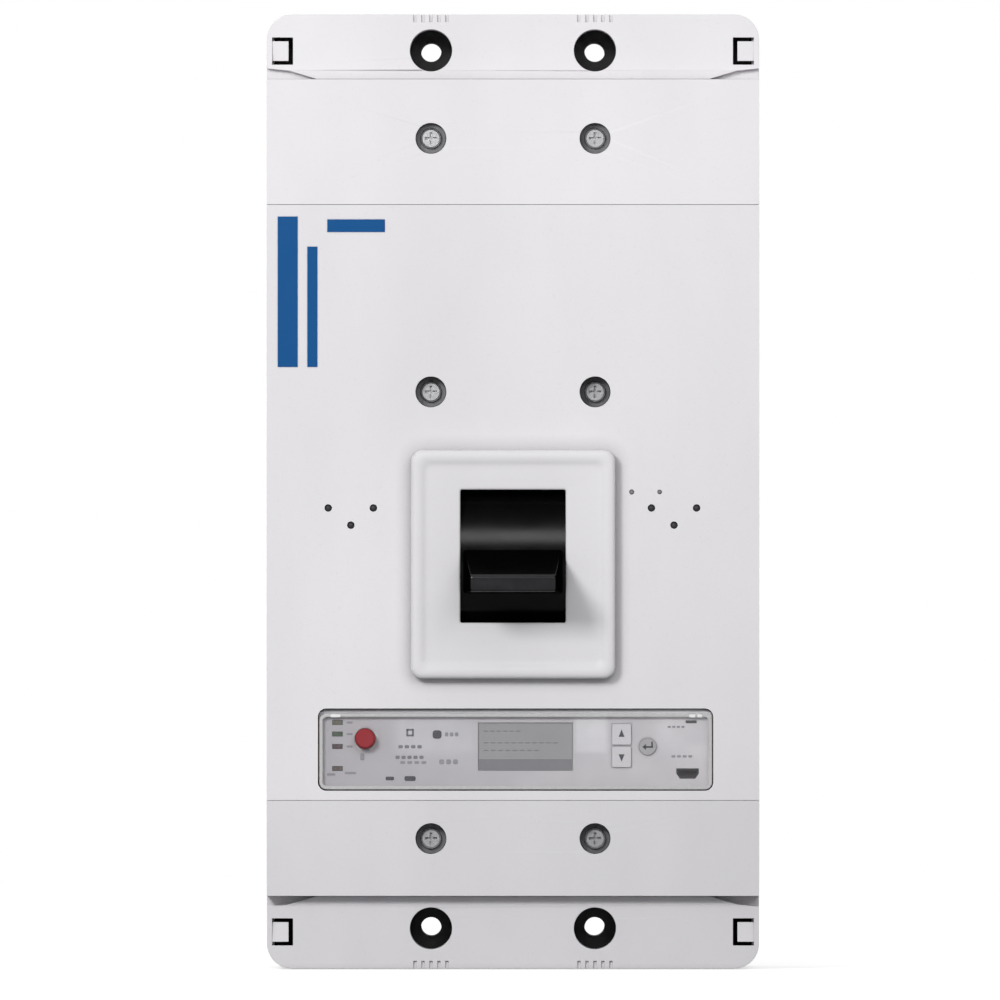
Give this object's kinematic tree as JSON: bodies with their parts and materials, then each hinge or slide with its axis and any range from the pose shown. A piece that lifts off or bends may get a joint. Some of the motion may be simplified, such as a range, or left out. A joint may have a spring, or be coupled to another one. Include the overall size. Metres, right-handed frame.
{
  "type": "molded case circuit breaker",
  "caption": "Three-pole molded case circuit breaker with a toggle handle, an electronic trip unit behind a window, terminal shields, arc chutes and a working linkage inside.",
  "frame": {"origin": "centre of the back mounting face", "axes": "+Z towards the line end, the front faces -Y, +X to the right seen from the front"},
  "size_m": [0.2096, 0.1801, 0.4064],
  "materials": {
    "grey_moulding": "fine moulded texture",
    "dark_moulding": "moulded",
    "black_moulding": "satin moulded",
    "blue_print": "printed label",
    "copper": "bare copper",
    "silver_contact": "silver alloy",
    "copper_braid": "laminated copper",
    "chute_steel": "plain steel",
    "fibre_board": "vulcanised fibre",
    "core_iron": "sensor core",
    "coil_winding": "enamelled winding",
    "zinc_steel": "zinc plated",
    "yellow_zinc": "yellow passivated",
    "screw_steel": "turned screw",
    "insert_brass": "knurled insert",
    "crossbar_moulding": "moulded",
    "spring_steel": "spring wire",
    "trip_bar_moulding": "moulded",
    "panel_grey": "printed panel",
    "board_green": "solder mask",
    "display": "display face",
    "lamp_plastic": "indicator lens",
    "red_button": "moulded",
    "key_white": "moulded",
    "clear_window": "clear moulding"
  },
  "bodies": {
    "case": {"base": "black_moulding", "primary_cover": "grey_moulding", "front_cover": "grey_moulding", "bezel": "grey_moulding", "primary_cover_screws": "screw_steel", "front_cover_screws": "screw_steel", "cover_inserts": "insert_brass", "accent_label": "blue_print", "line_conductor_left": "copper", "line_conductor_center": "copper", "line_conductor_right": "copper", "load_conductor_left": "copper", "load_conductor_center": "copper", "load_conductor_right": "copper", "fixed_contact_tips": "silver_contact", "flex_shunts": "copper_braid", "arc_plates_left": "chute_steel", "arc_plates_center": "chute_steel", "arc_plates_right": "chute_steel", "arc_side_boards": "fibre_board", "ct_cores": "core_iron", "ct_coils": "coil_winding", "terminal_nuts": "zinc_steel", "side_frame_left": "yellow_zinc", "side_frame_right": "yellow_zinc", "frame_spacers": "zinc_steel", "frame_screws": "screw_steel", "mechanism_pins": "zinc_steel", "main_springs": "spring_steel", "trip_unit_housing": "dark_moulding", "trip_unit_faceplate": "panel_grey", "circuit_board": "board_green", "lcd_module": "display", "status_leds": "lamp_plastic", "usb_socket": "dark_moulding", "trip_actuator": "dark_moulding"},
    "handle_arm": {"handle": "black_moulding", "handle_yoke": "zinc_steel"},
    "crossbar_shaft": {"crossbar": "crossbar_moulding", "crossbar_pins": "zinc_steel"},
    "contact_arm_set_left": {"contact_arm_left": "copper", "contact_tip_left": "silver_contact"},
    "contact_arm_set_center": {"contact_arm_center": "copper", "contact_tip_center": "silver_contact"},
    "contact_arm_set_right": {"contact_arm_right": "copper", "contact_tip_right": "silver_contact"},
    "cradle_lever": {"cradle": "zinc_steel"},
    "upper_link_pair": {"upper_links": "zinc_steel"},
    "lower_link_pair": {"lower_links": "zinc_steel", "toggle_pin": "zinc_steel"},
    "latch_lever": {"trip_latch": "zinc_steel"},
    "trip_bar_shaft": {"trip_bar": "trip_bar_moulding"},
    "push_to_trip": {"push_to_trip_button": "red_button"},
    "up_key": {"up_button": "key_white"},
    "down_key": {"down_button": "key_white"},
    "enter_key": {"enter_button": "panel_grey"},
    "plunger": {"actuator_plunger": "zinc_steel"},
    "window": {"trip_window": "clear_window"},
    "line_shield": {"line_terminal_shield": "grey_moulding"},
    "load_shield": {"load_terminal_shield": "grey_moulding"}
  },
  "joints": [
    {"name": "handle_swing", "type": "hinge", "parent": "case", "child": "handle_arm", "pos_m": [0, -0.074, -0.0275], "axis": [-1, 0, 0], "range_deg": [-9, 21.5], "deforming": ["main_springs", "flex_shunts"]},
    {"name": "crossbar_turn", "type": "hinge", "parent": "case", "child": "crossbar_shaft", "pos_m": [0, -0.044, -0.03], "axis": [-1, 0, 0], "range_deg": [-8.7, 20.6]},
    {"name": "contact_give_left", "type": "hinge", "parent": "crossbar_shaft", "child": "contact_arm_set_left", "pos_m": [0, -0.044, -0.03], "axis": [1, 0, 0], "range_deg": [0, 4]},
    {"name": "contact_give_center", "type": "hinge", "parent": "crossbar_shaft", "child": "contact_arm_set_center", "pos_m": [0, -0.044, -0.03], "axis": [1, 0, 0], "range_deg": [0, 4]},
    {"name": "contact_give_right", "type": "hinge", "parent": "crossbar_shaft", "child": "contact_arm_set_right", "pos_m": [0, -0.044, -0.03], "axis": [1, 0, 0], "range_deg": [0, 4]},
    {"name": "trip_bar_turn", "type": "hinge", "parent": "case", "child": "trip_bar_shaft", "pos_m": [0, -0.088, -0.079], "axis": [1, 0, 0], "range_deg": [0, 6.5]},
    {"name": "latch_turn", "type": "hinge", "parent": "case", "child": "latch_lever", "pos_m": [0, -0.066, -0.068], "axis": [1, 0, 0], "range_deg": [0, 12.1]},
    {"name": "cradle_turn", "type": "hinge", "parent": "case", "child": "cradle_lever", "pos_m": [0, -0.06, 0.012], "axis": [-1, 0, 0], "range_deg": [0, 3.7]},
    {"name": "upper_link_turn", "type": "hinge", "parent": "cradle_lever", "child": "upper_link_pair", "pos_m": [0, -0.0785, -0.005], "axis": [-1, 0, 0], "range_deg": [-18.7, 7.9]},
    {"name": "lower_link_turn", "type": "hinge", "parent": "crossbar_shaft", "child": "lower_link_pair", "pos_m": [0, -0.05602, -0.01798], "axis": [-1, 0, 0], "range_deg": [-22.9, 9.6]},
    {"name": "push_to_trip_press", "type": "slide", "parent": "case", "child": "push_to_trip", "axis": [0, 1, 0], "range_m": [0, 0.0027]},
    {"name": "plunger_stroke", "type": "slide", "parent": "case", "child": "plunger", "axis": [0, 1, 0], "range_m": [0, 0.0027]},
    {"name": "up_key_press", "type": "slide", "parent": "case", "child": "up_key", "axis": [0, 1, 0], "range_m": [0, 0.0007], "stiffness_N_per_m": 600},
    {"name": "down_key_press", "type": "slide", "parent": "case", "child": "down_key", "axis": [0, 1, 0], "range_m": [0, 0.0007], "stiffness_N_per_m": 600},
    {"name": "enter_key_press", "type": "slide", "parent": "case", "child": "enter_key", "axis": [0, 1, 0], "range_m": [0, 0.0007], "stiffness_N_per_m": 600},
    {"name": "window_swing", "type": "hinge", "parent": "case", "child": "window", "pos_m": [0, -0.1306, -0.0944], "axis": [-1, 0, 0], "range_deg": [0, 95]},
    {"name": "line_shield_off", "type": "slide", "parent": "case", "child": "line_shield", "axis": [0, -1, 0], "range_m": [0, 0.045]},
    {"name": "load_shield_off", "type": "slide", "parent": "case", "child": "load_shield", "axis": [0, -1, 0], "range_m": [0, 0.045]}
  ],
  "couplings": [
    {"joint": "crossbar_turn", "follows": "handle_swing", "ratio": 0.9535},
    {"joint": "lower_link_turn", "follows": "handle_swing", "ratio": -1.0575},
    {"joint": "upper_link_turn", "follows": "handle_swing", "ratio": -0.8633},
    {"joint": "latch_turn", "follows": "trip_bar_turn", "ratio": 1.8461},
    {"joint": "cradle_turn", "follows": "trip_bar_turn", "ratio": 0.55385},
    {"joint": "push_to_trip_press", "follows": "trip_bar_turn", "m_per_rad": 0.0234},
    {"joint": "plunger_stroke", "follows": "trip_bar_turn", "m_per_rad": 0.0234}
  ]
}
